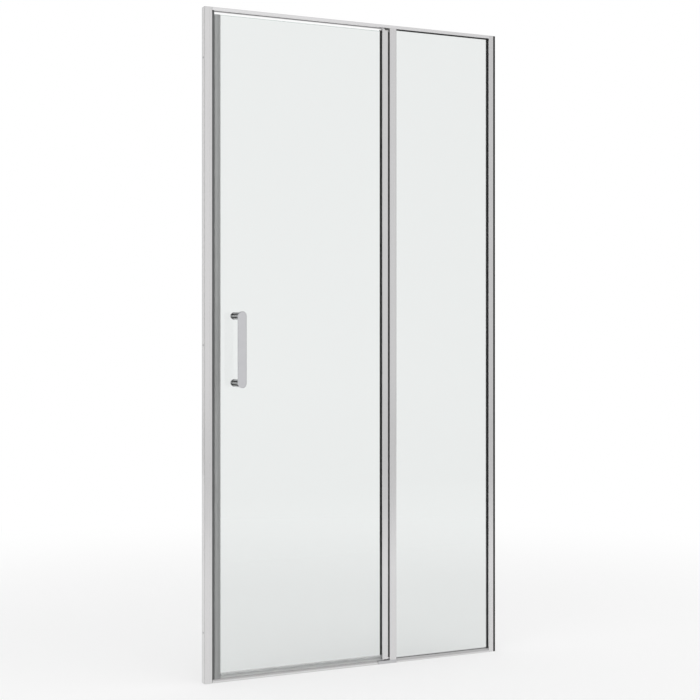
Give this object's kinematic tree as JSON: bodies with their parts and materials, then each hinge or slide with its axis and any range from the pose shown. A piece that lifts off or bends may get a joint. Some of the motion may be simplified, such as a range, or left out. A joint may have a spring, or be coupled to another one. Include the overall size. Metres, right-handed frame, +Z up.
{
  "type": "shower door",
  "caption": "Framed niche shower door: a clear glass pivot door with a pill-shaped bar handle and magnetic closing strip, beside an in-line fixed glass panel.",
  "frame": {"origin": "mid-width, in the middle plane of the glass, on the underside of the threshold", "axes": "+X to the right seen from outside, +Y into the shower, +Z up"},
  "size_m": [1, 0.0757, 2],
  "materials": {
    "polished_aluminium": "bright polished and anodised",
    "dark_aluminium": "dark anodised",
    "clear_glass": "clear toughened glass",
    "clear_seal": "clear soft extrusion",
    "grey_seal": "dark grey soft extrusion",
    "black_rubber": "black glazing rubber",
    "magnet": "flexible magnet",
    "polished_metal": "chrome plated",
    "stainless_steel": "plain stainless steel",
    "cast_metal": "plain casting",
    "pivot_base_metal": "polished casting",
    "bearing_plastic": "dark bearing plastic"
  },
  "bodies": {
    "frame": {"left_wall_channel": "polished_aluminium", "strike_jamb": "polished_aluminium", "strike_magnet_holder": "grey_seal", "strike_magnet_bar": "magnet", "left_lock_screws": "stainless_steel", "right_wall_channel": "dark_aluminium", "right_jamb": "polished_aluminium", "right_glass_gasket": "black_rubber", "right_lock_screws": "stainless_steel", "top_rail": "polished_aluminium", "top_glass_gasket": "black_rubber", "threshold_rail": "polished_aluminium", "bottom_rail": "polished_aluminium", "bottom_glass_gasket": "black_rubber", "hinge_post": "polished_aluminium", "post_glass_gasket": "black_rubber", "post_gap_seal": "black_rubber", "fixed_glass": "clear_glass", "top_pivot_block": "cast_metal", "top_block_screws": "stainless_steel", "top_pivot_bush": "bearing_plastic", "bottom_pivot_block": "pivot_base_metal", "bottom_pivot_bush": "bearing_plastic", "left_rail_screws": "stainless_steel", "right_rail_screws": "stainless_steel", "post_screws": "stainless_steel"},
    "door": {"door_glass": "clear_glass", "hinge_profile": "polished_aluminium", "hinge_glass_gasket": "black_rubber", "top_pivot_plug": "cast_metal", "bottom_pivot_plug": "cast_metal", "top_pivot_pin": "stainless_steel", "bottom_pivot_pin": "stainless_steel", "plug_screws": "stainless_steel", "door_magnet_seal": "clear_seal", "door_magnet_bar": "magnet", "drip_seal": "clear_seal", "handle_plate": "polished_metal", "handle_standoffs": "polished_metal", "outer_washers": "clear_seal", "inner_washers": "clear_seal", "cap_bolts": "polished_metal"}
  },
  "joints": [
    {"name": "door_swing", "type": "hinge", "parent": "frame", "child": "door", "pos_m": [0.1033, -0.006, 0.014], "axis": [0, 0, 1], "range_deg": [0, 105]}
  ]
}
